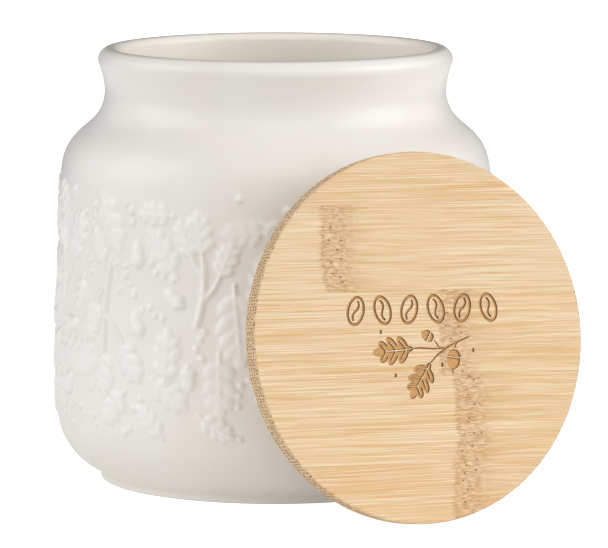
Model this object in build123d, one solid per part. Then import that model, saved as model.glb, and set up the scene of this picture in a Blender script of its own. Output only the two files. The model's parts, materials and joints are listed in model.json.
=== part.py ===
from build123d import *
import math
import os

# Ceramic coffee canister with a loose bamboo lid.
# Millimetres, +Z up. The origin is the centre of the foot, on the table the canister stands on.
# The lid rests on the table too and leans against the shoulder, in front and to the right.

# ---- canister: driving dimensions ----
JAR_HEIGHT = 127.8
FOOT_RADIUS = 52.2
FOOT_HEIGHT = 1.3
FOOT_RECESS_RADIUS = 46.0
FOOT_RECESS_DEPTH = 1.8
FOOT_EDGE = 0.3
MOUTH_RADIUS = 46.0
MOUTH_BOTTOM = 110.0
MOUTH_TOP = 125.6
LIP_RADIUS = 52.4
LIP_WIDEST_HEIGHT = 124.4
LIP_CREST_RADIUS = 49.0
WALL = 5.0
FLOOR_THICKNESS = 6.2

# Outside of the turned body as (radius, height), from the heel above the foot to below the lip
HEEL = [(53.6, 3.0), (57.1, 5.3), (61.6, 10.0), (64.1, 15.0)]
BELLY = [(65.2, 24.0), (65.4, 36.0), (64.9, 50.0), (64.3, 66.0), (63.9, 82.0)]
SHOULDER = [(63.4, 92.5), (61.9, 98.0), (57.5, 103.5), (53.1, 107.5)]
NECK = [(51.1, 111.2), (50.5, 115.0), (51.0, 119.0), (51.9, 122.2)]
HEEL_SLOPE = (1.0, 0.62)
INNER_FIRST_STATION = 2
INNER_LAST_STATION = 11
INNER_CORNER_RADIUS = 48.0

# ---- lid: driving dimensions ----
LID_RADIUS = 52.5
BOARD_THICKNESS = 5.2
BOARD_EDGE = 0.6
STRIP_WIDTH = 24.3
BOARD_FIRST_SEAM = 13.4
BOARD_STRIPS = 5
PLUG_RADIUS = 44.4
PLUG_DEPTH = 14.0
PLUG_CHAMFER = 0.8
PLUG_FIRST_SEAM = BOARD_FIRST_SEAM - STRIP_WIDTH / 2
PLUG_STRIPS = 4

# ---- seal: a ring in a groove round the plug, at the size it has once fitted ----
SEAL_RADIUS = 45.9
SEAL_HEIGHT = 6.4
SEAL_BACK_RADIUS = 42.2
SEAL_BAND_RADIUS = 44.0
SEAL_TOP = -BOARD_THICKNESS / 2 - 3.6
SEAL_LIPS = 3
LIP_ROOT = 1.5
LIP_TIP = 0.8

# ---- engraving on the lid face ----
ENGRAVE_DEPTH = 0.4
STROKE = 0.85
VEIN = 0.34
BEAN_COUNT = 6
BEAN_PITCH = 8.5
BEAN_ROW_CENTRE = (1.0, 8.0)
BEAN_HALF_WIDTH = 2.85
BEAN_HALF_LENGTH = 4.3
BEAN_TILT = 16.0
SEAM_SWING = 0.62
SEAM_STROKE = 0.7
LEAF_LOBES = 3
LOBE_ANGLE = 54.0
LOBE_FULLNESS = 0.40
VEIN_REACH = 0.78

# ---- how the lid stands when it is off ----
LID_AZIMUTH = 27.4
LID_LEAN = 9.3
LID_ROLL = -2.2
REST_GAP = 0.1


def jar_outline():
    """Closed half section of the canister, as a face right of the axis."""
    stations = HEEL + BELLY + SHOULDER + NECK
    lip_side = (LIP_RADIUS, LIP_WIDEST_HEIGHT)
    crest = (LIP_CREST_RADIUS, JAR_HEIGHT)
    foot_side = (FOOT_RADIUS, FOOT_HEIGHT)
    foot_low = (FOOT_RADIUS, FOOT_EDGE)
    foot_out = (FOOT_RADIUS - FOOT_EDGE, 0)
    foot_in = (FOOT_RECESS_RADIUS + FOOT_RECESS_DEPTH, 0)
    recess = (FOOT_RECESS_RADIUS, FOOT_RECESS_DEPTH)
    floor_height = FOOT_RECESS_DEPTH + FLOOR_THICKNESS
    edge_middle = FOOT_EDGE * (1 - math.sqrt(0.5))

    under = Polyline((0, FOOT_RECESS_DEPTH), recess, foot_in, foot_out)
    foot_round = ThreePointArc(foot_out, (FOOT_RADIUS - edge_middle, edge_middle), foot_low)
    foot_wall = Line(foot_low, foot_side)
    heel_groove = smooth([foot_side, stations[0]], (0, 1), HEEL_SLOPE)
    body = smooth(stations + [lip_side], HEEL_SLOPE, (0, 1))
    lip_outside = smooth([lip_side, crest], (0, 1), (-1, 0))
    lip_inside = smooth([crest, (MOUTH_RADIUS, MOUTH_TOP)], (-1, 0), (0, -1))
    mouth = Line((MOUTH_RADIUS, MOUTH_TOP), (MOUTH_RADIUS, MOUTH_BOTTOM))
    walled = stations[INNER_FIRST_STATION:INNER_LAST_STATION + 1]
    inside_points = [inward(body, station) for station in reversed(walled)]
    corner = (INNER_CORNER_RADIUS, floor_height)
    inside = smooth([(MOUTH_RADIUS, MOUTH_BOTTOM)] + inside_points + [corner], (0, -1), (-1, 0))
    floor = Polyline(corner, (0, floor_height), (0, FOOT_RECESS_DEPTH))
    edges = [under, foot_round, foot_wall, heel_groove, body, lip_outside, lip_inside, mouth, inside, floor]
    return make_face([edge for part in edges for edge in part.edges()])


def smooth(points, start_direction, end_direction):
    """A spline through points that leaves and arrives in the given directions."""
    return Spline(*points, tangents=[start_direction, end_direction], tangent_scalars=[1, 1])


def inward(curve, station):
    """The point one wall thickness inside the curve at a station on it."""
    parameter = curve.param_at_point(station)
    direction = curve.tangent_at(parameter, position_mode=PositionMode.PARAMETER)
    return (station[0] - WALL * direction.Y, station[1] + WALL * direction.X)


def make_jar():
    """One slip-cast pot: foot ring, barrel body, shoulder, neck and rolled lip."""
    return revolve(Plane.XZ * jar_outline(), Axis.Z)


def ribbon(points, width):
    """A narrow strip face that follows points and tapers to rounded-off ends."""
    left = []
    right = []
    for index, (x, y) in enumerate(points):
        before = points[max(index - 1, 0)]
        after = points[min(index + 1, len(points) - 1)]
        dx = after[0] - before[0]
        dy = after[1] - before[1]
        length = math.hypot(dx, dy)
        half = width / 2 * (0.6 if index in (0, len(points) - 1) else 1.0)
        left.append((x - dy / length * half, y + dx / length * half))
        right.append((x + dy / length * half, y - dx / length * half))
    return make_face(Polyline(*left, *reversed(right), left[0]).edges())


def placed(shape, position, angle):
    """A flat shape turned by angle about its own origin, then moved to position."""
    return Pos(position[0], position[1]) * Rot(0, 0, angle) * shape


def bean():
    """An outlined coffee bean with an S-shaped seam."""
    outer = Ellipse(BEAN_HALF_WIDTH, BEAN_HALF_LENGTH)
    inner = Ellipse(BEAN_HALF_WIDTH - STROKE, BEAN_HALF_LENGTH - STROKE)
    steps = 12
    reach = BEAN_HALF_LENGTH - 1.6 * STROKE
    seam = []
    for step in range(steps + 1):
        along = 2 * step / steps - 1
        seam.append((SEAM_SWING * math.sin(math.pi * along), reach * along))
    return [outer - inner, ribbon(seam, SEAM_STROKE)]


def bean_row():
    """Six beans side by side, leaning left and right in turn."""
    faces = []
    for index in range(BEAN_COUNT):
        x = BEAN_ROW_CENTRE[0] + (index - (BEAN_COUNT - 1) / 2) * BEAN_PITCH
        tilt = BEAN_TILT if index % 2 else -BEAN_TILT
        faces += [placed(face, (x, BEAN_ROW_CENTRE[1]), tilt) for face in bean()]
    return faces


def oak_leaf(length, half_width):
    """A leaf along +X from its stalk at the origin: swept lobes and a tip, its veins left standing."""
    blade = Pos(0.46 * length, 0) * Ellipse(0.46 * length, 0.34 * half_width)
    blade += Pos(0.85 * length, 0) * Ellipse(0.16 * length, 0.27 * half_width)
    veins = [ribbon([(-0.2, 0), (0.35 * length, 0.1), (0.7 * length, 0)], VEIN)]
    spacing = length / (LEAF_LOBES + 1)
    for lobe in range(LEAF_LOBES):
        root = spacing * (lobe + 0.65)
        reach = half_width * math.sin(math.pi * (0.28 + 0.68 * root / length))
        for angle in (LOBE_ANGLE, -LOBE_ANGLE):
            outward = Pos(root, 0) * Rot(0, 0, angle)
            blade += outward * Pos(0.52 * reach, 0) * Ellipse(0.58 * reach, LOBE_FULLNESS * spacing)
            veins.append(outward * ribbon([(0, 0), (VEIN_REACH * reach, 0)], VEIN))
    for vein in veins:
        blade -= vein
    return blade.faces()


def acorn(length, half_width):
    """An acorn along +X from its stalk at the origin: a cup, a thin standing line and the nut."""
    whole = Pos(length / 2, 0) * Ellipse(length / 2, half_width)
    cup = whole & Pos(length * 0.2, 0) * Rectangle(length * 0.4 - VEIN, 4 * half_width)
    nut = whole & Pos(length * 0.75, 0) * Rectangle(length * 0.7 - VEIN, 4 * half_width)
    nib = Pos(length, 0) * Circle(half_width * 0.2)
    return [cup, nut + nib]


def sprig():
    """A twig with two oak leaves, two acorns and four loose dots, below the beans."""
    twig = [(15.6, -0.2), (12.4, -1.2), (8.6, -2.9), (5.2, -5.0), (2.9, -7.2)]
    leaf_stalk = [(8.2, -3.1), (4.0, -3.3), (-0.6, -2.9), (-2.4, -3.0)]
    upper_acorn_stalk = [(6.0, -3.2), (5.2, -1.9), (4.3, -0.8)]
    lower_acorn_stalk = [(11.8, -1.4), (11.2, -2.4), (10.9, -3.3)]
    dots = [(-12.6, 1.9), (-8.4, -10.4), (6.6, -7.9), (16.8, -4.0)]

    faces = [ribbon(twig, 0.55), ribbon(leaf_stalk, 0.45)]
    faces += [ribbon(stalk, 0.4) for stalk in (upper_acorn_stalk, lower_acorn_stalk)]
    faces += [placed(face, (-2.4, -3.0), 184) for face in oak_leaf(12.8, 4.4)]
    faces += [placed(face, (2.9, -7.2), 236) for face in oak_leaf(11.8, 4.3)]
    faces += [placed(face, (4.2, -0.6), 152) for face in acorn(4.1, 1.6)]
    faces += [placed(face, (10.8, -3.5), 262) for face in acorn(5.8, 2.1)]
    faces += [Pos(x, y) * Ellipse(0.42, 0.62) for x, y in dots]
    return faces


def engraving():
    """Everything that is cut into the lid face, as one group of shallow prisms."""
    floor_height = BOARD_THICKNESS / 2 - ENGRAVE_DEPTH
    tools = []
    for shape in bean_row() + sprig():
        for face in shape.faces():
            tools.append(extrude(Pos(0, 0, floor_height) * face, amount=2 * ENGRAVE_DEPTH, dir=(0, 0, 1)))
    return tools


def seams(first, count):
    """Heights of the strip edges across the lid, bottom to top, with open ends."""
    lowest = -((count + 1) // 2)
    inner = [first + STRIP_WIDTH * (lowest + step) for step in range(1, count)]
    return [-2 * LID_RADIUS] + inner + [2 * LID_RADIUS]


def cut_into_strips(disc, edges):
    """The disc split into glued strips that run along X."""
    strips = []
    for low, high in zip(edges, edges[1:]):
        slab = Pos(0, (low + high) / 2, 0) * Box(4 * LID_RADIUS, high - low, 4 * PLUG_DEPTH)
        strips.append(disc & slab)
    return strips


def make_board():
    """The round top board: five edge-glued bamboo strips, engraved."""
    disc = Cylinder(LID_RADIUS, BOARD_THICKNESS)
    disc = fillet(disc.edges(), BOARD_EDGE)
    tools = engraving()
    strips = cut_into_strips(disc, seams(BOARD_FIRST_SEAM, BOARD_STRIPS))
    return [strip - tools for strip in strips]


def plug_disc():
    """The thick disc under the board that drops into the mouth, with the groove of the seal."""
    middle = -BOARD_THICKNESS / 2 - PLUG_DEPTH / 2
    disc = Pos(0, 0, middle) * Cylinder(PLUG_RADIUS, PLUG_DEPTH)
    disc = chamfer(disc.edges().sort_by(Axis.Z)[0], PLUG_CHAMFER)
    groove = Cylinder(PLUG_RADIUS + 1, SEAL_HEIGHT) - Cylinder(SEAL_BACK_RADIUS, SEAL_HEIGHT)
    return disc - Pos(0, 0, SEAL_TOP - SEAL_HEIGHT / 2) * groove


def make_plug():
    """The plug: four edge-glued bamboo strips, their seams halfway between those of the board."""
    return cut_into_strips(plug_disc(), seams(PLUG_FIRST_SEAM, PLUG_STRIPS))


def make_seal():
    """The silicone ring: a band in the groove with three wiping lips."""
    spacing = (SEAL_HEIGHT - LIP_ROOT) / (SEAL_LIPS - 1)
    outline = [(SEAL_BACK_RADIUS, 0)]
    for lip in range(SEAL_LIPS):
        top = -lip * spacing
        outline.append((SEAL_BAND_RADIUS, top))
        outline.append((SEAL_RADIUS, top - (LIP_ROOT - LIP_TIP) / 2))
        outline.append((SEAL_RADIUS, top - (LIP_ROOT + LIP_TIP) / 2))
        outline.append((SEAL_BAND_RADIUS, top - LIP_ROOT))
    outline.append((SEAL_BACK_RADIUS, -SEAL_HEIGHT))
    outline.append(outline[0])
    section = make_face(Polyline(*outline).edges())
    return Pos(0, 0, SEAL_TOP) * revolve(Plane.XZ * section, Axis.Z)


def lid_place(reach):
    """Where the lid stands with its middle at the given distance from the axis of the canister."""
    azimuth = math.radians(LID_AZIMUTH)
    lean = math.radians(LID_LEAN)
    outward = Vector(math.sin(azimuth), -math.cos(azimuth), 0)
    face_normal = outward * math.cos(lean) + Vector(0, 0, math.sin(lean))
    across = Vector(math.cos(azimuth), math.sin(azimuth), 0)
    half = BOARD_THICKNESS / 2 - BOARD_EDGE
    height = (LID_RADIUS - BOARD_EDGE) * math.cos(lean) + half * math.sin(lean) + BOARD_EDGE
    standing = Plane(origin=outward * reach + Vector(0, 0, height), x_dir=across, z_dir=face_normal)
    return Location(standing) * Rot(0, 0, LID_ROLL)


def leaning_reach(jar):
    """Bring the standing lid towards the canister until its plug all but touches the shoulder."""
    plug = plug_disc()
    reach = 2 * LID_RADIUS
    for _ in range(8):
        reach -= jar.distance_to(lid_place(reach) * plug) - REST_GAP
    return reach


def main():
    os.makedirs("parts", exist_ok=True)
    jar = make_jar()
    export_step(jar, "parts/jar_body.step")

    place = lid_place(leaning_reach(jar))
    for number, strip in enumerate(make_board(), start=1):
        export_step(place * strip, f"parts/lid_strip_{number}.step")
    for number, strip in enumerate(make_plug(), start=1):
        export_step(place * strip, f"parts/plug_strip_{number}.step")
    export_step(place * make_seal(), "parts/seal_ring.step")


main()
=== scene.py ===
import json
import math
import random

import bmesh
import bpy
import numpy as np
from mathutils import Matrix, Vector


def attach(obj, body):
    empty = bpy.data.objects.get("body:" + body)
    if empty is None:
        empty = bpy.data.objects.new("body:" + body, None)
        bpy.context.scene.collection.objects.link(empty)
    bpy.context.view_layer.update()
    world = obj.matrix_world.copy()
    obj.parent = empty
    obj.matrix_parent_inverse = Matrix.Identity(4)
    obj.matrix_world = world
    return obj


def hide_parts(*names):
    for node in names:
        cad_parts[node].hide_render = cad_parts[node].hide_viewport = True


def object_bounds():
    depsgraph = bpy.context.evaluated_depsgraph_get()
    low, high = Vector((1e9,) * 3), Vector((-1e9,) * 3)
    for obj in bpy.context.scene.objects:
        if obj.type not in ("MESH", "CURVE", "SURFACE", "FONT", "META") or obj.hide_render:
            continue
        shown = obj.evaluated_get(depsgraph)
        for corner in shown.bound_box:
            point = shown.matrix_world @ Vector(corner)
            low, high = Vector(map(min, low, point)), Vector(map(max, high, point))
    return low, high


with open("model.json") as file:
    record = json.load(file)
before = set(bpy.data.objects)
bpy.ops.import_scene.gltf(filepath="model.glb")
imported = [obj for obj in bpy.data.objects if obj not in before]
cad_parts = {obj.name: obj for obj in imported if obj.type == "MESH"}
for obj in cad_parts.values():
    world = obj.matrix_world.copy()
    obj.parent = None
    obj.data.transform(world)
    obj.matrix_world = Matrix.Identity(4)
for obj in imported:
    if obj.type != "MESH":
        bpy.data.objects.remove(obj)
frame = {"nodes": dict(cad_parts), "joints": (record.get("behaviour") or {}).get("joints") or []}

# A ceramic coffee canister with a loose bamboo lid, in metres, +Z up.
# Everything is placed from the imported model: the canister's profile comes from its mesh,
# the lid's own axes from its joint and from the seam between two of its strips.

cad_low, cad_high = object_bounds()
MM = 0.001

# ---- camera, at the viewing angle of the picture ----
CAMERA_X = 8.4 * MM
CAMERA_DISTANCE = 1504 * MM
CAMERA_HEIGHT = 261.2 * MM
CAMERA_PITCH_DOWN = 7.62
CAMERA_LENS = 302.7
CAMERA_CLIP = (0.05, 50.0)
SENSOR_WIDTH = 36.0

# ---- canister mesh ----
COLUMNS = 900
BAND_ROW = 0.4 * MM
OUTSIDE_ROW = 1.1 * MM
INSIDE_ROW = 2.6 * MM
BAND_LOW = 12.5 * MM
BAND_HIGH = 93.0 * MM
FINE_ROW = 0.5 * MM
LIP_ZONE = 6 * MM
FOOT_ZONE = 5 * MM
TRACE_STEP = 0.1 * MM
DISC_RINGS = (0.8, 0.55, 0.3)
PLUG_ROOM = 0.15 * MM
PLUG_SIDE = 0.2
SHARP_ANGLE = 40

# ---- what the glaze reads at each point: height of the relief in mm, or this on the inside ----
INSIDE = -1.0

# ---- relief ----
RELIEF_BLUR = 0.36 * MM
RELIEF_LOW = 18 * MM
RELIEF_HIGH = 91 * MM
BRANCHES = 7
FIRST_BRANCH = -110
SEED = 7
LEAF_HEIGHT = 0.80 * MM
RIB_HEIGHT = 1.10 * MM
TWIG_HEIGHT = 1.10 * MM
NUT_HEIGHT = 1.0 * MM
BERRY_HEIGHT = 0.75 * MM
LOBE_ANGLE = 52

# ---- studio ----
FLOOR_SIZE = 14.0
ROOM_FRONT = 0.785
ROOM_BACK = 0.03
ROOM_TOP_SHARE = 0.5
ROOM_BEHIND = (0.45, 0.85)
ROOM_ABOVE = (0.35, 0.85)
SIDE_SIZE = 1.5
LEFT_POWER = 11.9
RIGHT_POWER = 19.8
TOP_SIZE = 1.2
TOP_POWER = 4.4
LEFT_PLACE = (-1.65, -0.3, 0.95)
RIGHT_PLACE = (1.65, -0.5, 0.9)
TOP_PLACE = (0.1, -1.3, 1.35)
LIGHT_TARGET = (0.0, 0.0, 0.07)
# painted glow of the floor near the object, which lights the canister from below
FLOOR_GLOW = 0.20
FLOOR_LIFT = 0.85
FLOOR_NEAR = 0.45
FLOOR_FAR = 1.1
FLOOR_DROP = 0.05 * MM


def rgb(red, green, blue):
    """A colour given as 0 to 255 screen values."""
    linear = [((v / 255 + 0.055) / 1.055) ** 2.4 for v in (red, green, blue)]
    return (*linear, 1.0)


# ---- colours ----
FLOOR_WHITE = rgb(244, 244, 243)
FLOOR_PAPER = rgb(232, 232, 231)
FLOOR_DIM = rgb(90, 90, 90)
GLAZE_WARM = rgb(230, 226, 219)
GLAZE_COOL = rgb(233, 230, 226)
GLAZE_THIN = rgb(238, 236, 233)
GLAZE_POOL = rgb(219, 215, 207)
GLAZE_SPECK = rgb(150, 135, 115)
# painted light: the inside's glaze is lighter than the outside's, standing in for light that reaches into the
# mouth
INSIDE_PAINTED_LIGHT = rgb(234, 229, 219)
# painted shade: a grey band on the lip's top that stands in for its dark reflection and the dim light on its
# upward face
LIP_PAINTED_SHADE = rgb(184, 178, 168)
BISQUE = rgb(214, 205, 188)
BAMBOO_CREAM = rgb(223, 198, 162)
BAMBOO_HONEY = rgb(216, 182, 134)
BAMBOO_SAND = rgb(220, 193, 155)
BAMBOO_ORANGE = rgb(213, 163, 103)
BAMBOO_PALE = rgb(231, 211, 182)
BAMBOO_AMBER = rgb(214, 175, 127)
BAMBOO_TOFFEE = rgb(220, 190, 148)
BAMBOO_GREY = rgb(207, 177, 136)
BAMBOO_BROWN = rgb(190, 145, 92)
KNUCKLE_TAN = rgb(206, 169, 122)
KNUCKLE_BROWN = rgb(172, 127, 80)
PIT_BROWN = rgb(92, 68, 48)
END_TAN = rgb(204, 174, 136)
END_PALE = rgb(218, 190, 154)
END_DARK = rgb(120, 88, 58)
SILICONE_SHADE = rgb(226, 226, 220)
SILICONE_LIGHT = rgb(238, 238, 234)
SCORCH_LIGHT = rgb(211, 163, 102)
SCORCH_MID = rgb(197, 147, 86)
SCORCH_DARK = rgb(124, 78, 34)

# ---- bamboo, in mm: the layers of fibres have a length, a width and a detail ----
FIBRES = {
    "broad": (70.0, 4.5, 2.0),
    "lines": (40.0, 0.36, 2.0),
    "soft": (30.0, 1.0, 2.0),
    "threads": (24.0, 0.25, 2.0),
    "hair": (7.0, 0.13, 1.0),
}
SEED_SHIFT = 37.0
GLUE_LINE = (0.13, 0.02)
BUNDLE_PITCH = (0.85, 1.1)
ENGRAVED_REACH = (45.0, 44.0)
ENGRAVED_TOP = (-0.08, -0.25)
ENGRAVED_FLOOR = (-0.75, -0.5)

# ---- lid strips: where the knuckle crosses the strip, in mm along the grain, and its two tones ----
NO_KNUCKLE = 300.0
STRIP_LOOKS = {
    "lid_strip_1": (13.0, (BAMBOO_AMBER, BAMBOO_TOFFEE)),
    "lid_strip_2": (14.4, (BAMBOO_CREAM, BAMBOO_HONEY)),
    "lid_strip_3": (10.7, (BAMBOO_HONEY, BAMBOO_CREAM)),
    "lid_strip_4": (-25.8, (BAMBOO_CREAM, BAMBOO_SAND)),
    "lid_strip_5": (NO_KNUCKLE, (BAMBOO_HONEY, BAMBOO_SAND)),
    "plug_strip_1": (-9.0, (BAMBOO_SAND, BAMBOO_CREAM)),
    "plug_strip_2": (24.0, (BAMBOO_HONEY, BAMBOO_CREAM)),
    "plug_strip_3": (-27.0, (BAMBOO_CREAM, BAMBOO_HONEY)),
    "plug_strip_4": (6.0, (BAMBOO_SAND, BAMBOO_HONEY)),
}


# ------------------------------------------------------------------ measuring the frame

def node_points(*names):
    """Corner points of CAD nodes as an array, in the row frame."""
    return np.array([v.co[:] for name in names for v in frame["nodes"][name].data.vertices])


def lid_frame():
    """The lid's own axes and the middle of its face: x along the grain, y across it, z out of the face."""
    names = [n for n in frame["nodes"] if n.startswith("lid_strip")]
    points = node_points(*names)
    z_axis = np.array(frame["joints"][0]["axis"])
    z_axis = z_axis / np.linalg.norm(z_axis)
    lower = {tuple(p) for p in np.round(node_points("lid_strip_2"), 5)}
    upper = {tuple(p) for p in np.round(node_points("lid_strip_3"), 5)}
    seam = np.array(sorted(lower & upper))
    ends = seam[0], seam[-1]
    x_axis = ends[1] - ends[0]
    x_axis = x_axis - z_axis * (x_axis @ z_axis)
    x_axis = x_axis / np.linalg.norm(x_axis) * (1 if x_axis[0] > 0 else -1)
    y_axis = np.cross(z_axis, x_axis)
    middle = sum(
        axis * (np.max(points @ axis) + np.min(points @ axis)) / 2 for axis in (x_axis, y_axis)
    )
    centre = middle + z_axis * np.max(points @ z_axis)
    return x_axis, y_axis, z_axis, centre


def jar_profile():
    """The canister's outline as (radius, height), from the middle of the underside to that of the inside."""
    mesh = frame["nodes"]["jar_body"].data
    points = np.array([v.co[:] for v in mesh.vertices])
    on_seam = (np.abs(points[:, 1]) < 1e-6) & (points[:, 0] > 0)
    key = {i: tuple(np.round(points[i][[0, 2]], 6)) for i in np.flatnonzero(on_seam)}
    links = {}
    for edge in mesh.edges:
        a, b = edge.vertices
        if a in key and b in key and key[a] != key[b]:
            links.setdefault(key[a], set()).add(key[b])
            links.setdefault(key[b], set()).add(key[a])
    ground = [p for p in links if p[1] < 1e-7]
    foot_in = min(ground)
    foot_out = max(ground)
    recess = max(links[foot_in], key=lambda p: p[1])
    chain = [foot_out]
    seen = {foot_out, foot_in}
    while True:
        following = [p for p in links[chain[-1]] if p not in seen]
        if not following:
            break
        chain.append(min(following, key=lambda p: math.dist(p, chain[-1])))
        seen.add(chain[-1])
    return np.array(recess), np.array(foot_in), np.array(chain)


def smooth_path(points, lengths):
    """Points at the given distances along a smooth curve through points (cubic between neighbours)."""
    step = np.linalg.norm(np.diff(points, axis=0), axis=1)
    along = np.concatenate([[0], np.cumsum(step)])
    chord = np.diff(points, axis=0) / step[:, None]
    slope = np.empty_like(points)
    slope[0], slope[-1] = chord[0], chord[-1]
    before, after = step[:-1, None], step[1:, None]
    slope[1:-1] = (chord[1:] * before + chord[:-1] * after) / (before + after)
    at = np.clip(lengths, 0, along[-1])
    i = np.clip(np.searchsorted(along, at, side="right") - 1, 0, len(step) - 1)
    h = step[i][:, None]
    t = ((at - along[i]) / step[i])[:, None]
    return (
        points[i] * (1 + 2 * t) * (1 - t) ** 2
        + slope[i] * h * t * (1 - t) ** 2
        + points[i + 1] * t * t * (3 - 2 * t)
        + slope[i + 1] * h * t * t * (t - 1)
    )


LID_X, LID_Y, LID_Z, LID_CENTRE = lid_frame()


# ------------------------------------------------------------------ relief on the canister

class Relief:
    """Heights of the leaf relief over the wall, on a grid of (distance round the wall, height).

    A shape is a list of rounded ridges: (start, end, half width across, bulge at the ends, height)."""

    def __init__(self, heights, columns, girth):
        self.rows = heights
        self.columns = columns
        self.step = girth / columns
        self.girth = girth
        self.relief = np.zeros((len(heights), columns))

    def patch(self, ridge):
        """The rows, columns and heights that one ridge covers."""
        start, end, half_width, half_length, height = ridge
        middle = (start[0] + end[0]) / 2, (start[1] + end[1]) / 2
        reach = math.dist(start, end) / 2 + max(half_width, half_length)
        first, last = np.searchsorted(self.rows, (middle[1] - reach, middle[1] + reach))
        span = int(reach / self.step) + 1
        columns = int(middle[0] / self.step) + np.arange(-span, span + 1)
        across = (columns * self.step - start[0])[None, :]
        up = (self.rows[first:last] - start[1])[:, None]
        angle = math.atan2(end[1] - start[1], end[0] - start[0])
        x = across * math.cos(angle) + up * math.sin(angle)
        y = up * math.cos(angle) - across * math.sin(angle)
        past = x - np.clip(x, 0, math.dist(start, end))
        outward = np.clip((past / half_length) ** 2 + (y / half_width) ** 2, 0, 1)
        return np.ix_(np.arange(first, last), columns % self.columns), height * np.sqrt(1 - outward**2)

    def add(self, shape):
        for ridge in shape:
            where, heights = self.patch(ridge)
            self.relief[where] = np.maximum(self.relief[where], heights)

    def add_if_clear(self, shape, share=0.04):
        """Adds a shape only where the wall is still mostly bare, and inside the band."""
        lowest = min(min(r[0][1], r[1][1]) - r[2] for r in shape)
        highest = max(max(r[0][1], r[1][1]) + r[2] for r in shape)
        if lowest < RELIEF_LOW or highest > RELIEF_HIGH:
            return
        covered = taken = 0
        for ridge in shape:
            where, heights = self.patch(ridge)
            covered += np.count_nonzero(heights)
            taken += np.count_nonzero((heights > 0) & (self.relief[where] > 0))
        if taken <= share * covered:
            self.add(shape)


def along(place, angle, distance):
    """The point a distance away from place, in the direction of the angle."""
    return place[0] + distance * math.cos(angle), place[1] + distance * math.sin(angle)


def oval(middle, angle, half_length, half_width, height):
    """A rounded oval, longest along the angle."""
    return middle, along(middle, angle, 1e-7), half_width, half_length, height


def twig_points(foot, lean, bend, length, steps=8):
    """Points of a twig that leaves its foot at the lean angle and turns steadily by bend."""
    points = [foot]
    for step in range(steps):
        points.append(along(points[-1], lean + bend * step / steps, length / steps))
    return points


def twig(points, start_width, end_width, height):
    """A rounded twig through points, tapering from one width to the other."""
    last = len(points) - 1
    halves = [(start_width + (end_width - start_width) * (i + 0.5) / last) / 2 for i in range(last)]
    return [(a, b, half, half, height) for a, b, half in zip(points, points[1:], halves)]


def leaf(place, angle, length, half_width, lobes, boldness=1.0):
    """An oak leaf: low lobes that lean forward on both sides of a raised midrib, each with its vein."""
    height = boldness * LEAF_HEIGHT
    rib = boldness * RIB_HEIGHT
    shape = [oval(along(place, angle, 0.5 * length), angle, 0.46 * length, 0.26 * half_width, 0.75 * height)]
    for number in range(lobes):
        share = (number + 0.8) / (lobes + 1.0)
        reach = half_width * (0.48 + 0.52 * math.sin(math.pi * share**0.8))
        base = along(place, angle, 0.9 * length * share)
        for side in (-1, 1):
            heading = angle + side * math.radians(LOBE_ANGLE - 14 * share)
            middle = along(base, heading, 0.56 * reach)
            shape.append(oval(middle, heading, 0.60 * reach, 0.42 * length / (lobes + 1), height))
            shape += twig([base, along(base, heading, 0.8 * reach)], 0.9 * MM, 0.6 * MM, 0.95 * rib)
    shape.append(oval(along(place, angle, 0.86 * length), angle, 0.15 * length, 0.34 * half_width, height))
    return shape + twig([place, along(place, angle, 0.88 * length)], 1.2 * MM, 0.8 * MM, rib)


def acorn(place, angle, length):
    """An acorn in its cup, on a short stalk that ends at place."""
    half_width = 0.36 * length
    return [
        oval(along(place, angle, 0.62 * length), angle, 0.42 * length, 0.84 * half_width, NUT_HEIGHT),
        oval(along(place, angle, 1.04 * length), angle, 0.09 * length, 0.4 * MM, 0.6 * NUT_HEIGHT),
        oval(along(place, angle, 0.3 * length), angle, 0.27 * length, half_width, 1.25 * NUT_HEIGHT),
        *twig([place, along(place, angle, 0.2 * length)], 1.2 * MM, 1.2 * MM, TWIG_HEIGHT),
    ]


def berries(rng, place, angle, count):
    """Berries in a loose row."""
    shape = []
    for _ in range(count):
        size = rng.uniform(0.8, 1.25) * MM
        shape.append(oval(place, 0, size, size, BERRY_HEIGHT))
        place = along(place, angle + rng.uniform(-0.9, 0.9), rng.uniform(2.4, 3.2) * MM)
    return shape


def grow_branch(relief, rng, foot, lean, bend, length, width):
    """A branch with a leaf at its tip, two forks that end in leaves, and an acorn."""
    points = twig_points(foot, lean, bend, length)
    relief.add(twig(points, width, 0.65 * width, TWIG_HEIGHT))
    size = rng.uniform(14, 17) * MM
    relief.add(leaf(points[-1], lean + bend, size, 0.33 * size, 3))
    side = rng.choice((-1, 1))
    for at in (points[rng.choice((2, 3))], points[rng.choice((4, 5, 6))]):
        turn = lean + bend * 0.5 + side * math.radians(rng.uniform(42, 62))
        fork = twig_points(at, turn, -side * math.radians(25), rng.uniform(5, 10) * MM, 4)
        relief.add(twig(fork, 0.75 * width, 0.55 * width, TWIG_HEIGHT))
        size = rng.uniform(12, 17) * MM
        relief.add(leaf(fork[-1], turn - side * math.radians(25), size, 0.34 * size, 3))
        side = -side
    turn = lean + bend * 0.5 + side * math.radians(rng.uniform(50, 75))
    relief.add_if_clear(acorn(along(points[5], turn, 4 * MM), turn, 7.5 * MM), 0.2)


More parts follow.
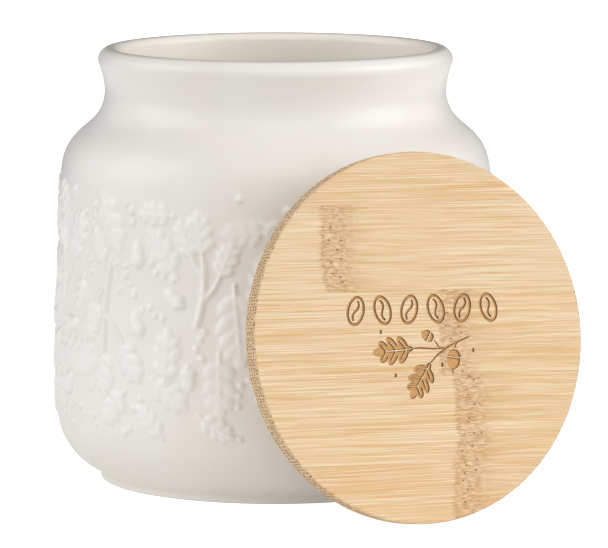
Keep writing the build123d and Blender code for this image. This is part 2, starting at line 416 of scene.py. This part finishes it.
def fill_gaps(relief, rng):
    """Loose leaves, acorns and berries wherever the wall is still bare, big ones first."""
    def anywhere():
        place = rng.uniform(0, relief.girth), rng.uniform(RELIEF_LOW, RELIEF_HIGH)
        return place, rng.uniform(0, 2 * math.pi)

    for length, lobes, tries in ((23 * MM, 4, 60), (18 * MM, 3, 180), (13 * MM, 3, 300)):
        for _ in range(30):
            relief.add_if_clear(berries(rng, *anywhere(), 4), 0)
        for _ in range(tries):
            size = rng.uniform(0.88, 1.1) * length
            boldness = rng.uniform(0.6, 1.0)
            relief.add_if_clear(leaf(*anywhere(), size, rng.uniform(0.29, 0.35) * size, lobes, boldness))
    for _ in range(250):
        relief.add_if_clear(acorn(*anywhere(), rng.uniform(6.5, 8) * MM), 0)
    for count in (3, 2, 1):
        for _ in range(120):
            relief.add_if_clear(berries(rng, *anywhere(), count), 0)


def blurred(heights, sigma_rows, sigma_columns):
    """The glaze fills corners: a Gaussian blur, wrapped round the wall."""
    for axis, sigma in ((0, sigma_rows), (1, sigma_columns)):
        reach = int(math.ceil(3 * sigma))
        weights = np.exp(-0.5 * (np.arange(-reach, reach + 1) / sigma) ** 2)
        weights /= weights.sum()
        offsets = range(-reach, reach + 1)
        heights = sum(w * np.roll(heights, offset, axis=axis) for offset, w in zip(offsets, weights))
    return heights


def relief_heights(heights, columns, radius):
    """The leaf relief in metres for each row height and column of the wall."""
    rng = random.Random(SEED)
    girth = 2 * math.pi * radius
    relief = Relief(heights, columns, girth)
    pitch = girth / BRANCHES
    start = math.radians(FIRST_BRANCH) * radius
    for number in range(BRANCHES):
        foot = (start + number * pitch, rng.uniform(52, 56) * MM)
        bend = math.radians(24 if number % 2 == 0 else -24)
        lean = math.radians(rng.uniform(84, 96)) - 0.5 * bend
        grow_branch(relief, rng, foot, lean, bend, rng.uniform(17, 20) * MM, 2.1 * MM)
        foot = (start + (number + rng.uniform(0.42, 0.58)) * pitch, rng.uniform(62, 72) * MM)
        bend = math.radians(rng.uniform(-30, 30))
        lean = math.radians(rng.uniform(-104, -76)) - 0.5 * bend
        grow_branch(relief, rng, foot, lean, bend, rng.uniform(20, 26) * MM, 1.8 * MM)
    fill_gaps(relief, rng)
    row = (heights[-1] - heights[0]) / (len(heights) - 1)
    return blurred(relief.relief, RELIEF_BLUR / row, RELIEF_BLUR * columns / girth)


# ------------------------------------------------------------------ canister mesh

def bridge(faces, first, count, second, second_count):
    """Faces between two rings of points; the second ring has as many points, or half as many."""
    if count == second_count:
        for i in range(count):
            j = (i + 1) % count
            faces.append((first + i, first + j, second + j, second + i))
        return
    for i in range(second_count):
        j = (i + 1) % second_count
        left, middle, right = first + 2 * i, first + 2 * i + 1, first + 2 * j
        faces.append((left, middle, second + i))
        faces.append((middle, second + j, second + i))
        faces.append((middle, right, second + j))


def row_gap(point, outside):
    """How far the next row of the canister's mesh lies from this one."""
    if outside and BAND_LOW < point[1] < BAND_HIGH:
        return BAND_ROW
    if point[1] > cad_high.z - LIP_ZONE or (outside and point[1] < FOOT_ZONE):
        return FINE_ROW
    return OUTSIDE_ROW if outside else INSIDE_ROW


def jar_rows(foot_in, chain):
    """The profile as rows of the mesh: up the outside, over the lip and down to the inside's middle."""
    length = np.linalg.norm(np.diff(chain, axis=0), axis=1).sum()
    traced = smooth_path(chain, np.arange(0, length, TRACE_STEP))
    crest = int(np.argmax(traced[:, 1]))
    rows = [foot_in]
    travelled = OUTSIDE_ROW
    for index, point in enumerate(traced):
        travelled += TRACE_STEP
        if travelled >= row_gap(point, index <= crest):
            rows.append(point)
            travelled = 0.0
    rows.append(chain[-1])
    return np.array(rows)


def raised_wall(rows, band, directions):
    """Height of the relief over every point of the wall, held clear of the lid's plug."""
    raised = np.zeros((len(rows), COLUMNS))
    heights = relief_heights(rows[band, 1], COLUMNS, rows[band, 0].mean())
    plug = node_points(*[n for n in frame["nodes"] if n.startswith("plug_strip")])
    plug_end = np.min(plug @ LID_Z) - PLUG_ROOM
    slope = directions @ LID_Z[:2]
    reach = (plug_end - rows[band, 1][:, None] * LID_Z[2]) / np.where(slope > PLUG_SIDE, slope, 1e-3)
    room = np.where(slope > PLUG_SIDE, reach - rows[band, 0][:, None], 1.0)
    raised[band] = np.clip(np.minimum(heights, room), 0, None)
    return raised


def build_jar():
    """The glazed pot: the CAD profile turned, with the relief raised out of its wall."""
    recess, foot_in, chain = jar_profile()
    rows = jar_rows(foot_in, chain)
    crest = int(np.argmax(rows[:, 1]))
    number = np.arange(len(rows))
    band = np.flatnonzero((number < crest) & (rows[:, 1] > BAND_LOW) & (rows[:, 1] < BAND_HIGH))
    counts = np.where(number <= crest + 4, COLUMNS // 2, COLUMNS // 4)
    counts[band[0] - 1:band[-1] + 2] = COLUMNS

    azimuths = np.arange(COLUMNS) * 2 * math.pi / COLUMNS
    directions = np.stack([np.cos(azimuths), np.sin(azimuths)], axis=1)
    raised = raised_wall(rows, band, directions)
    points, faces, lifted, starts = [], [], [], []
    for row, count, height, inside in zip(rows, counts, raised, number > crest):
        starts.append(len(points))
        for column in range(0, COLUMNS, COLUMNS // count):
            radius = row[0] + height[column]
            points.append((radius * directions[column, 0], radius * directions[column, 1], row[1]))
            lifted.append(INSIDE if inside else height[column] / MM)
    for index in range(len(rows) - 1):
        if counts[index] >= counts[index + 1]:
            bridge(faces, starts[index], counts[index], starts[index + 1], counts[index + 1])
        else:
            turned = []
            bridge(turned, starts[index + 1], counts[index + 1], starts[index], counts[index])
            faces.extend(tuple(reversed(face)) for face in turned)
    close_disc(points, faces, lifted, starts[-1], counts[-1], INSIDE, False)
    recess_ring = len(points)
    for column in range(0, COLUMNS, COLUMNS // counts[0]):
        points.append((recess[0] * directions[column, 0], recess[0] * directions[column, 1], recess[1]))
        lifted.append(0.0)
    bridge(faces, recess_ring, counts[0], starts[0], counts[0])
    close_disc(points, faces, lifted, recess_ring, counts[0], 0.0, True)

    mesh = bpy.data.meshes.new("glazed_jar")
    mesh.from_pydata(points, [], faces)
    mesh.shade_smooth()
    attribute = mesh.attributes.new("lifted", "FLOAT", "POINT")
    attribute.data.foreach_set("value", np.array(lifted, np.float32))
    jar = bpy.data.objects.new("glazed_jar", mesh)
    bpy.context.scene.collection.objects.link(jar)
    sharpen(jar, SHARP_ANGLE)
    jar.data.materials.append(glaze())
    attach(jar, "jar")
    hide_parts("jar_body")


def close_disc(points, faces, lifted, start, count, mark, downward):
    """Rings of faces that close a round end, getting coarser towards the middle."""
    height = points[start][2]
    ring, size = start, count
    outer = np.array(points[start:start + count])
    for share in DISC_RINGS:
        following = len(points)
        new_size = size // 2 if size % 2 == 0 else size
        for point in outer[:: len(outer) // new_size]:
            points.append((point[0] * share, point[1] * share, height))
            lifted.append(mark)
        part = []
        bridge(part, ring, size, following, new_size)
        faces.extend(part if not downward else [tuple(reversed(face)) for face in part])
        ring, size = following, new_size
    points.append((0.0, 0.0, height))
    lifted.append(mark)
    centre = len(points) - 1
    for i in range(size):
        face = (ring + i, ring + (i + 1) % size, centre)
        faces.append(face if not downward else tuple(reversed(face)))


def sharpen(piece, angle):
    """Marks edges sharper than the angle, so that smooth shading stops at them."""
    bm = bmesh.new()
    bm.from_mesh(piece.data)
    for edge in bm.edges:
        if len(edge.link_faces) == 2 and edge.calc_face_angle() > math.radians(angle):
            edge.smooth = False
    bm.to_mesh(piece.data)
    bm.free()


# ------------------------------------------------------------------ materials

class Graph:
    """A short way to write the node graph of a material or of the world."""

    def __init__(self, owner):
        self.owner = owner
        owner.use_nodes = True
        self.tree = owner.node_tree

    def link(self, value, socket):
        """Gives a socket its value: another node's output or a plain number, vector or colour."""
        if isinstance(value, bpy.types.NodeSocket):
            self.tree.links.new(value, socket)
        elif value is not None:
            socket.default_value = value

    def node(self, kind, output=0, inputs=None, **settings):
        """Adds a node of a kind and returns one of its outputs."""
        made = self.tree.nodes.new("ShaderNode" + kind)
        for name, value in settings.items():
            setattr(made, name, value)
        for name, value in (inputs or {}).items():
            self.link(value, made.inputs[name])
        return made.outputs[output]

    def math(self, operation, a, b=None, c=None, clamp=False):
        return self.node("Math", inputs={0: a, 1: b, 2: c}, operation=operation, use_clamp=clamp)

    def vector(self, operation, a, b=None):
        made = self.tree.nodes.new("ShaderNodeVectorMath")
        made.operation = operation
        self.link(a, made.inputs[0])
        self.link(b, made.inputs[1])
        return made.outputs["Value" if operation in ("DOT_PRODUCT", "LENGTH") else "Vector"]

    def combine(self, x, y, z):
        return self.node("CombineXYZ", inputs={0: x, 1: y, 2: z})

    def noise(self, where, scale=1.0, detail=2.0, roughness=0.5):
        inputs = {"Vector": where, "Scale": scale, "Detail": detail, "Roughness": roughness}
        return self.node("TexNoise", inputs=inputs)

    def cells(self, where, scale=1.0, output="Distance", jitter=1.0, flat=False):
        inputs = {"Vector": where, "Scale": scale, "Randomness": jitter}
        return self.node("TexVoronoi", output, inputs, voronoi_dimensions="2D" if flat else "3D")

    def span(self, value, low, high, to_low=0.0, to_high=1.0):
        """A smooth step of value from low to high."""
        inputs = {0: value, 1: low, 2: high, 3: to_low, 4: to_high}
        return self.node("MapRange", inputs=inputs, interpolation_type="SMOOTHSTEP")

    def mix(self, share, a, b):
        """A colour between a and b."""
        made = self.tree.nodes.new("ShaderNodeMix")
        made.data_type = "RGBA"
        self.link(share, made.inputs[0])
        self.link(a, made.inputs[6])
        self.link(b, made.inputs[7])
        return made.outputs[2]

    def bump(self, height, distance, strength=1.0):
        inputs = {"Height": height, "Distance": distance, "Strength": strength}
        return self.node("Bump", inputs=inputs)

    def finish(self, **values):
        """Sets the shader's inputs, named with _ for a space, and returns the finished owner."""
        shader = self.tree.nodes["Principled BSDF"]
        for name, value in values.items():
            self.link(value, shader.inputs[name.replace("_", " ")])
        return self.owner


def glaze():
    """Satin off-white glaze: thinner on raised edges, pooled beside them, with a bare foot ring; painted
    lighter on the inside and painted darker along the lip's top.
    """
    g = Graph(bpy.data.materials.new("satin_glaze"))
    place = g.node("TexCoord", "Object")
    lifted = g.node("Attribute", "Fac", attribute_name="lifted")
    clouds = g.noise(place, 28.0, 3.0)
    base = g.mix(g.span(clouds, 0.3, 0.7), GLAZE_WARM, GLAZE_COOL)
    base = g.mix(g.span(lifted, 0.0, 0.9, 0.0, 0.5), base, GLAZE_THIN)
    edge = g.math("SUBTRACT", 1.0, g.math("ABSOLUTE", g.math("SUBTRACT", lifted, 0.22)))
    base = g.mix(g.span(edge, 0.86, 1.0, 0.0, 0.25), base, GLAZE_POOL)
    speck = g.cells(place, 170.0)
    chosen = g.node("SeparateColor", 0, {0: g.cells(place, 170.0, "Color")})
    specks = g.math("MULTIPLY", g.span(speck, 0.05, 0.02), g.span(chosen, 0.90, 0.93))
    base = g.mix(g.math("MULTIPLY", specks, 0.35), base, GLAZE_SPECK)
    # painted light: the inside is given a lighter glaze, standing in for light that reaches into the mouth
    base = g.mix(g.span(lifted, -0.1, -0.9), base, INSIDE_PAINTED_LIGHT)
    height = g.node("SeparateXYZ", "Z", {0: place})
    # painted shade: the lip's top is darkened towards grey, standing in for the dark reflection and dim light
    # on its upward face
    base = g.mix(g.span(height, cad_high.z - 0.7 * MM, cad_high.z, 0.0, 0.6), base, LIP_PAINTED_SHADE)
    bare = g.span(height, 0.25 * MM, 0.08 * MM)
    base = g.mix(bare, base, BISQUE)
    rough = g.span(g.noise(place, 60.0, 2.0), 0.3, 0.7, 0.285, 0.33)
    rough = g.math("ADD", rough, g.math("MULTIPLY", bare, 0.5))
    peel = g.noise(place, 330.0, 2.0)
    soft = g.noise(place, 75.0, 1.0)
    relief = g.math("ADD", g.math("MULTIPLY", peel, 0.25), soft)
    return g.finish(
        Base_Color=base, Roughness=rough, Normal=g.bump(relief, 0.05 * MM, 0.6),
        Specular_IOR_Level=0.5, Subsurface_Weight=0.08, Subsurface_Scale=1.5 * MM,
        Subsurface_Radius=(1.0, 0.8, 0.6),
    )


def lid_space(g):
    """The lid's own coordinates in millimetres: along the grain, across it, and below the face."""
    place = g.node("TexCoord", "Object")
    from_centre = g.vector("SUBTRACT", place, tuple(LID_CENTRE))
    return [
        g.math("MULTIPLY", g.vector("DOT_PRODUCT", from_centre, tuple(axis)), 1 / MM)
        for axis in (LID_X, LID_Y, LID_Z)
    ]


class Bamboo:
    """The material of one glued strip between two seams, in the lid's own coordinates in mm.

    Each method lays one feature over the colour that it is given and returns the new colour."""

    def __init__(self, name, low, high, knuckle, seed, tone):
        g = self.g = Graph(bpy.data.materials.new(name))
        self.x, self.y, self.z = lid_space(g)
        self.low, self.high = low, high
        self.seed, self.tone = seed, tone
        self.own_y = g.math("ADD", self.y, seed * SEED_SHIFT)
        self.past = g.math("SUBTRACT", self.x, knuckle)
        self.after = g.math("MULTIPLY", g.span(self.past, 2.0, 8.0), g.span(self.past, 55.0, 20.0))
        self.fibre_y = self.across_fibres()
        self.layers = {layer: self.noise(self.fibre_y, *size) for layer, size in FIBRES.items()}

    def noise(self, y, length, width, detail=2.0, offset=0.0):
        """Noise with cells of the given length along the grain and width across it."""
        g = self.g
        where = g.combine(
            g.math("MULTIPLY", self.x, 1 / length), g.math("MULTIPLY", y, 1 / width),
            g.math("MULTIPLY_ADD", self.z, 1 / width, self.seed + offset),
        )
        return g.noise(where, 1.0, detail)

    def across_fibres(self):
        """Place across the fibres, which run straight up to the knuckle and waver in the wood past it."""
        g = self.g
        drift = g.math("SUBTRACT", self.noise(self.own_y, 90.0, 30.0), 0.5)
        waver = g.math("SUBTRACT", self.noise(self.own_y, 16.0, 6.0, 1.0, 5.0), 0.5)
        softness = g.math("MULTIPLY_ADD", self.after, 0.9, 0.06)
        waver = g.math("MULTIPLY", g.math("MULTIPLY", waver, 1.7), softness)
        return g.math("ADD", g.math("ADD", self.own_y, g.math("MULTIPLY", drift, 2.2)), waver)

    def grain(self):
        """Fibres in lines of pale, orange and grey wood, softer past the knuckle."""
        g = self.g
        lines, soft, threads = (self.layers[layer] for layer in ("lines", "soft", "threads"))
        colour = g.mix(g.span(self.layers["broad"], 0.3, 0.7), *self.tone)
        colour = g.mix(g.math("MULTIPLY", self.after, 0.35), colour, BAMBOO_HONEY)
        sharp = g.math("MULTIPLY_ADD", self.after, -0.35, 0.88)
        colour = g.mix(g.math("MULTIPLY", g.span(lines, 0.54, 0.63), sharp), colour, BAMBOO_ORANGE)
        colour = g.mix(g.math("MULTIPLY", g.span(lines, 0.45, 0.35), sharp), colour, BAMBOO_PALE)
        gentle = g.math("MULTIPLY_ADD", self.after, 0.3, 0.12)
        colour = g.mix(g.math("MULTIPLY", g.span(soft, 0.50, 0.68), gentle), colour, BAMBOO_ORANGE)
        colour = g.mix(g.math("MULTIPLY", g.span(soft, 0.46, 0.30), gentle), colour, BAMBOO_PALE)
        colour = g.mix(g.span(threads, 0.53, 0.62, 0.0, 0.6), colour, BAMBOO_GREY)
        colour = g.mix(g.span(threads, 0.45, 0.36, 0.0, 0.6), colour, BAMBOO_PALE)
        return g.mix(g.span(self.layers["hair"], 0.56, 0.76, 0.0, 0.22), colour, BAMBOO_BROWN)

    def knuckle_band(self, colour):
        """Where the cane had a joint: fibres end in dark stubs, then broken wood with pits that fades out."""
        g = self.g
        ragged = g.noise(g.combine(self.seed, g.math("MULTIPLY", self.y, 1.3), 0.0), 1.0, 4.0, 0.7)
        bow = g.noise(g.combine(self.seed, g.math("MULTIPLY", self.y, 0.11), 3.0), 1.0, 1.0)
        edge = g.math("MULTIPLY_ADD", ragged, 3.4, g.math("MULTIPLY_ADD", bow, 5.0, -4.2))
        offset = g.math("ADD", self.past, edge)
        self.within = within = g.math("MULTIPLY", g.span(offset, -4.6, -3.8), g.span(offset, 9.0, 1.5))
        where = g.combine(g.math("MULTIPLY", self.x, 0.45), g.math("MULTIPLY", self.fibre_y, 2.2), self.seed)
        self.broken = broken = g.noise(where, 1.0, 4.0, 0.68)
        stain = g.math("MULTIPLY", g.span(offset, -4.4, -3.6), g.span(offset, 17.0, 4.0, 0.0, 0.34))
        streaks = g.math("MULTIPLY", stain, g.span(self.layers["soft"], 0.42, 0.58))
        colour = g.mix(streaks, colour, BAMBOO_BROWN)
        colour = g.mix(g.math("MULTIPLY", within, 0.6), colour, KNUCKLE_TAN)
        dark = g.span(broken, 0.50, 0.58, 0.0, 0.6)
        colour = g.mix(g.math("MULTIPLY", within, dark), colour, KNUCKLE_BROWN)
        light = g.span(broken, 0.46, 0.38, 0.0, 0.55)
        colour = g.mix(g.math("MULTIPLY", within, light), colour, BAMBOO_PALE)
        near_edge = g.span(g.math("ABSOLUTE", g.math("ADD", offset, 4.2)), 1.3, 0.5)
        stub = g.math("MULTIPLY", near_edge, g.span(self.layers["threads"], 0.5, 0.58))
        colour = g.mix(g.math("MULTIPLY", stub, 0.38), colour, KNUCKLE_BROWN)
        return self.pitted(colour, offset)

    def pitted(self, colour, offset):
        """Small dark pits with a brown halo along the middle of the knuckle."""
        g = self.g
        place = g.math("MULTIPLY", self.x, 0.30), g.math("MULTIPLY_ADD", self.y, 0.40, self.seed)
        spot = g.combine(*place, 0.0)
        pit = g.cells(spot, 1.0, flat=True)
        some = g.node("SeparateColor", 0, {0: g.cells(spot, 1.0, "Color", flat=True)})
        middle = g.span(g.math("ABSOLUTE", g.math("SUBTRACT", offset, 0.4)), 3.4, 2.6)
        present = g.math("MULTIPLY", g.span(some, 0.30, 0.34), middle)
        halo = g.math("MULTIPLY", g.span(pit, 0.26, 0.10), present)
        self.pits = g.math("MULTIPLY", g.span(pit, 0.11, 0.06), present)
        colour = g.mix(g.math("MULTIPLY", halo, 0.35), colour, KNUCKLE_BROWN)
        return g.mix(g.math("MULTIPLY", self.pits, 0.85), colour, PIT_BROWN)

    def seams(self, colour):
        """A thin glue line along each side of the strip."""
        g = self.g
        from_sides = g.math("SUBTRACT", self.y, self.low), g.math("SUBTRACT", self.high, self.y)
        inward = g.math("MINIMUM", *from_sides)
        self.glue = g.span(inward, *GLUE_LINE)
        return g.mix(g.math("MULTIPLY", self.glue, 0.35), colour, KNUCKLE_BROWN)

    def facing(self):
        """The surface's direction in the object's own axes."""
        return self.g.node(
            "VectorTransform", inputs={0: self.g.node("NewGeometry", "Normal")},
            vector_type="NORMAL", convert_from="WORLD", convert_to="OBJECT",
        )

    def end_grain(self, colour):
        """Dark fibre bundles seen end on, where the surface faces along the fibres."""
        g = self.g
        along_fibres = g.math("ABSOLUTE", g.vector("DOT_PRODUCT", self.facing(), tuple(LID_X)))
        self.ends = g.span(along_fibres, 0.15, 0.4)
        across, down = BUNDLE_PITCH
        place = g.math("MULTIPLY", self.own_y, 1 / across), g.math("MULTIPLY", self.z, 1 / down)
        section = g.combine(*place, 0.0)
        self.bundle = g.cells(section, 1.0, flat=True, jitter=0.55)
        end_colour = g.mix(g.span(g.noise(section, 0.35, 2.0), 0.3, 0.7), END_TAN, END_PALE)
        end_colour = g.mix(g.span(self.bundle, 0.36, 0.20, 0.0, 0.9), end_colour, END_DARK)
        return g.mix(self.ends, colour, end_colour)

    def engraving(self, colour):
        """Scorched wood in the cuts below the face, darkest at their rims and walls."""
        g = self.g
        sunk = g.math("MULTIPLY", g.span(self.z, *ENGRAVED_TOP), g.span(self.z, *ENGRAVED_FLOOR))
        squares = g.math("ADD", g.math("MULTIPLY", self.x, self.x), g.math("MULTIPLY", self.y, self.y))
        self.cut = g.math("MULTIPLY", sunk, g.span(g.math("SQRT", squares), *ENGRAVED_REACH))
        shade = g.node("AmbientOcclusion", "AO", {"Distance": 0.35 * MM}, samples=6)
        where = g.combine(g.math("MULTIPLY", self.x, 0.8), g.math("MULTIPLY", self.y, 3.2), self.seed)
        grains = g.noise(where, 1.0, 3.0)
        char = g.mix(g.span(grains, 0.35, 0.65), SCORCH_MID, SCORCH_LIGHT)
        speckle = g.math("MULTIPLY_ADD", grains, 1.6, -0.75)
        rim = g.math("ADD", g.span(shade, 0.95, 0.55), speckle, clamp=True)
        char = g.mix(rim, char, SCORCH_DARK)
        facing_out = g.vector("DOT_PRODUCT", self.facing(), tuple(LID_Z))
        char = g.mix(g.span(facing_out, 0.75, 0.4, 0.0, 0.85), char, SCORCH_DARK)
        return g.mix(self.cut, colour, char)

    def material(self):
        """The strip's finished material: all its colours, and a fine bump of fibres, pits and glue lines."""
        g = self.g
        colour = self.engraving(self.end_grain(self.seams(self.knuckle_band(self.grain()))))
        rough = g.span(self.layers["lines"], 0.3, 0.7, 0.42, 0.54)
        rough = g.math("ADD", rough, g.math("MULTIPLY", g.math("MAXIMUM", self.ends, self.cut), 0.25))
        height = g.math("MULTIPLY", self.layers["hair"], 0.4)
        height = g.math("MULTIPLY_ADD", self.layers["threads"], 0.6, height)
        height = g.math("MULTIPLY_ADD", self.pits, -2.0, height)
        height = g.math("MULTIPLY_ADD", self.glue, -1.2, height)
        height = g.math("MULTIPLY_ADD", self.within, self.broken, height)
        height = g.math("MULTIPLY_ADD", self.ends, g.span(self.bundle, 0.2, 0.4), height)
        return g.finish(
            Base_Color=colour, Roughness=rough, Normal=g.bump(height, 0.05 * MM, 0.5),
            Specular_IOR_Level=0.35, Coat_Weight=0.06, Coat_Roughness=0.35,
        )


def silicone():
    """Cloudy white silicone with a faint dust of marks."""
    g = Graph(bpy.data.materials.new("clear_silicone"))
    place = g.node("TexCoord", "Object")
    cloud = g.span(g.noise(place, 90.0, 3.0), 0.3, 0.7)
    colour = g.mix(cloud, SILICONE_SHADE, SILICONE_LIGHT)
    dust = g.span(g.noise(place, 900.0, 2.0), 0.62, 0.7)
    rough = g.math("ADD", 0.38, g.math("MULTIPLY", dust, 0.3))
    return g.finish(
        Base_Color=colour, Roughness=rough, Normal=g.bump(dust, 0.02 * MM, 0.4),
        Subsurface_Weight=0.35, Subsurface_Scale=2.5 * MM, Subsurface_Radius=(1.0, 1.0, 0.95),
        IOR=1.41, Transmission_Weight=0.12,
    )


def finish_lid():
    """Gives each strip of the lid its own bamboo, and the seal its silicone."""
    for number, (name, (knuckle, tone)) in enumerate(STRIP_LOOKS.items()):
        across = (node_points(name) - LID_CENTRE) @ LID_Y / MM
        low, high = float(across.min()), float(across.max())
        paint(name, Bamboo(f"bamboo_{name}", low, high, knuckle, 1.7 * number + 3, tone).material())
    paint("seal_ring", silicone())


def paint(node, material):
    """Puts a material in every slot of a CAD node."""
    piece = frame["nodes"][node]
    for slot in piece.material_slots:
        slot.material = material


# ------------------------------------------------------------------ studio

def build_floor():
    """A wide pale floor under the object, lit a little from within so that it stays pale far behind; near the
    object it glows for every ray, a painted glow that lights the canister from below.
    """
    side = FLOOR_SIZE / 2
    mesh = bpy.data.meshes.new("floor")
    corners = [(-side, -side, 0), (side, -side, 0), (side, side, 0), (-side, side, 0)]
    mesh.from_pydata(corners, [], [(0, 1, 2, 3)])
    floor = bpy.data.objects.new("floor", mesh)
    floor.location.z = -FLOOR_DROP
    bpy.context.scene.collection.objects.link(floor)
    g = Graph(bpy.data.materials.new("pale_floor"))
    distance = g.vector("LENGTH", g.node("TexCoord", "Object"))
    far = g.span(distance, FLOOR_NEAR, FLOOR_FAR)
    paper = g.mix(far, FLOOR_PAPER, FLOOR_DIM)
    lift = g.math("MULTIPLY", g.node("LightPath", "Is Camera Ray"), g.math("ADD", far, FLOOR_LIFT))
    # painted glow: near the object the floor glows for every ray and lights the canister's lower wall from
    # below, though it is no lamp
    glow = g.math("ADD", lift, g.math("MULTIPLY", g.math("SUBTRACT", 1.0, far), FLOOR_GLOW))
    floor.data.materials.append(g.finish(
        Base_Color=paper, Roughness=0.9, Specular_IOR_Level=0.1,
        Emission_Color=FLOOR_WHITE, Emission_Strength=glow,
    ))


def area_light(name, size, power, place):
    """A square soft light that looks at the object."""
    light = bpy.data.lights.new(name, "AREA")
    light.size = size
    light.energy = power
    lamp = bpy.data.objects.new(name, light)
    lamp.location = place
    lamp.rotation_euler = (Vector(LIGHT_TARGET) - Vector(place)).to_track_quat("-Z", "Y").to_euler()
    bpy.context.scene.collection.objects.link(lamp)


def build_lights():
    """Soft boxes on both sides and above in front, in a room that is darker behind and above the object."""
    world = bpy.data.worlds.new("room")
    bpy.context.scene.world = world
    g = Graph(world)
    direction = g.node("TexCoord", "Generated")
    behind = g.node("SeparateXYZ", "Y", {0: direction})
    above = g.node("SeparateXYZ", "Z", {0: direction})
    room = g.span(behind, *ROOM_BEHIND, ROOM_FRONT, ROOM_BACK)
    room = g.math("MULTIPLY", room, g.span(above, *ROOM_ABOVE, 1.0, ROOM_TOP_SHARE))
    grey = g.node("CombineColor", 0, {0: room, 1: room, 2: room})
    paper = g.mix(g.node("LightPath", "Is Camera Ray"), grey, (1.0, 1.0, 1.0, 1.0))
    g.link(paper, g.tree.nodes["Background"].inputs["Color"])
    area_light("left_box", SIDE_SIZE, LEFT_POWER, LEFT_PLACE)
    area_light("right_box", SIDE_SIZE, RIGHT_POWER, RIGHT_PLACE)
    area_light("top_box", TOP_SIZE, TOP_POWER, TOP_PLACE)


def build_camera():
    """A long lens a little above the lid, level across."""
    data = bpy.data.cameras.new("camera")
    data.sensor_width = SENSOR_WIDTH
    data.lens = CAMERA_LENS
    data.clip_start, data.clip_end = CAMERA_CLIP
    camera = bpy.data.objects.new("camera", data)
    camera.location = (CAMERA_X, -CAMERA_DISTANCE, CAMERA_HEIGHT)
    camera.rotation_euler = (math.radians(90 - CAMERA_PITCH_DOWN), 0.0, 0.0)
    bpy.context.scene.collection.objects.link(camera)
    bpy.context.scene.camera = camera


# ------------------------------------------------------------------ build

build_jar()
finish_lid()
build_floor()
build_lights()
build_camera()
bpy.context.scene.view_settings.view_transform = "Standard"
